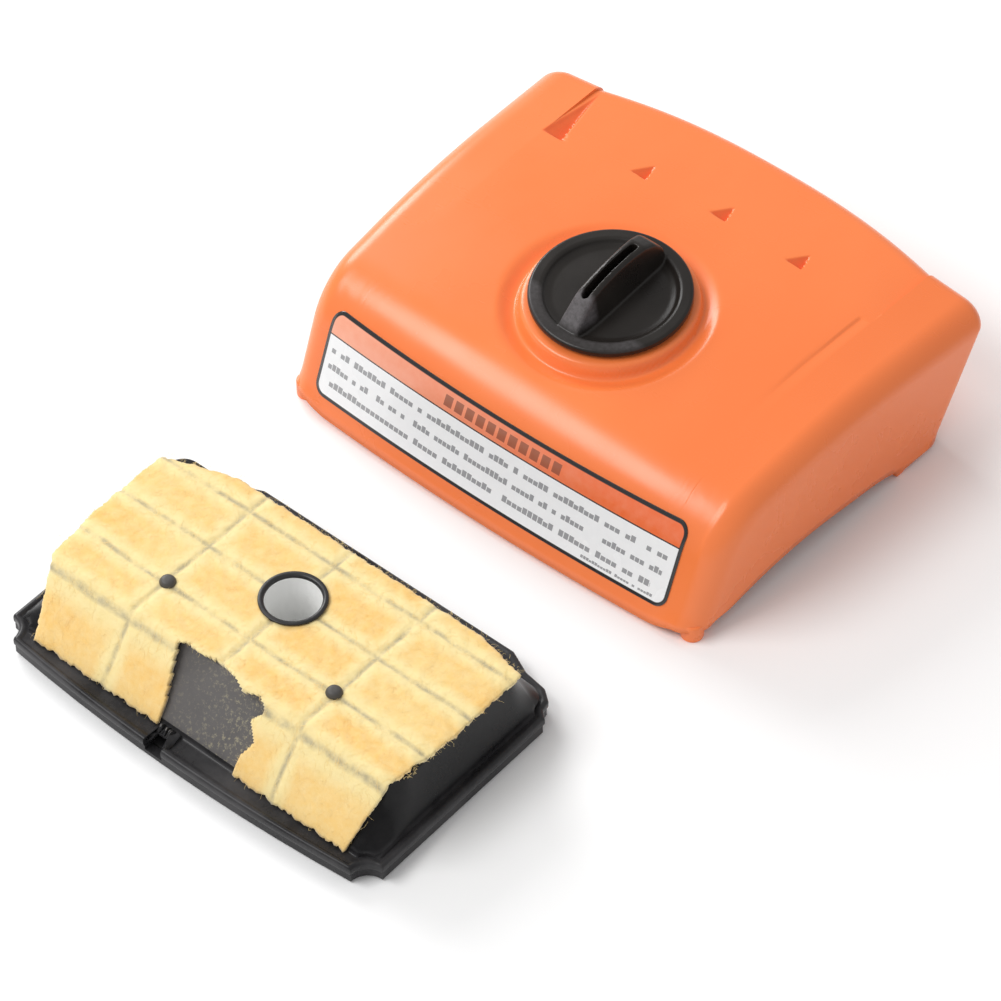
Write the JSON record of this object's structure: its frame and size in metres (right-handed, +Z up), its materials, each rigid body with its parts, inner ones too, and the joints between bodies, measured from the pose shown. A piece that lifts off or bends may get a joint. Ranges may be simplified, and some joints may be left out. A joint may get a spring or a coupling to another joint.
{
  "type": "air filter housing",
  "caption": "Moulded engine air filter cover with a quarter-turn lock, laid out with its two-part felt filter element.",
  "frame": {"origin": "on the table, under the middle of the set of cover and filter element", "axes": "+Z up, +X to the right along the cover's long side, +Y from the filter element towards the back of the cover"},
  "size_m": [0.1312, 0.2086, 0.0487],
  "materials": {
    "cover_plastic": "satin moulded orange",
    "knob_plastic": "satin black",
    "frame_plastic": "satin black",
    "label_vinyl": "printed white sticker",
    "filter_felt": "pale yellow felt",
    "seal_rubber": "matte black",
    "lock_nylon": "natural nylon",
    "spring_steel": "zinc plated",
    "screen_brass": "plain"
  },
  "bodies": {
    "cover": {"cover_shell": "cover_plastic", "front_label": "label_vinyl", "lock_bushing": "lock_nylon", "lock_seal_ring": "seal_rubber", "lock_wave_washer": "spring_steel"},
    "lock": {"twist_knob": "knob_plastic", "lock_spindle": "lock_nylon", "bayonet_pin": "spring_steel", "lock_retaining_clip": "spring_steel"},
    "element_lower": {"lower_frame": "frame_plastic", "sealing_gasket": "seal_rubber", "intake_collar": "seal_rubber", "intake_screen": "screen_brass", "lower_felt": "filter_felt"},
    "element_upper": {"upper_frame": "frame_plastic", "upper_felt": "filter_felt", "felt_rivet_left": "knob_plastic", "felt_rivet_right": "knob_plastic", "rivet_washer_left": "spring_steel", "rivet_washer_right": "spring_steel", "centre_sleeve": "knob_plastic"}
  },
  "joints": [
    {"name": "twist_lock_turn", "type": "hinge", "parent": "cover", "child": "lock", "pos_m": [0, 0.04086, 0.0408], "axis": [0, -0.0698, 0.9976], "range_deg": [0, 90]},
    {"name": "filter_lift", "type": "slide", "parent": "cover", "child": "element_lower", "axis": [0, 0, 1], "range_m": [0, 0.06]},
    {"name": "upper_half_lift", "type": "slide", "parent": "element_lower", "child": "element_upper", "axis": [0, 0, 1], "range_m": [0, 0.03]}
  ]
}
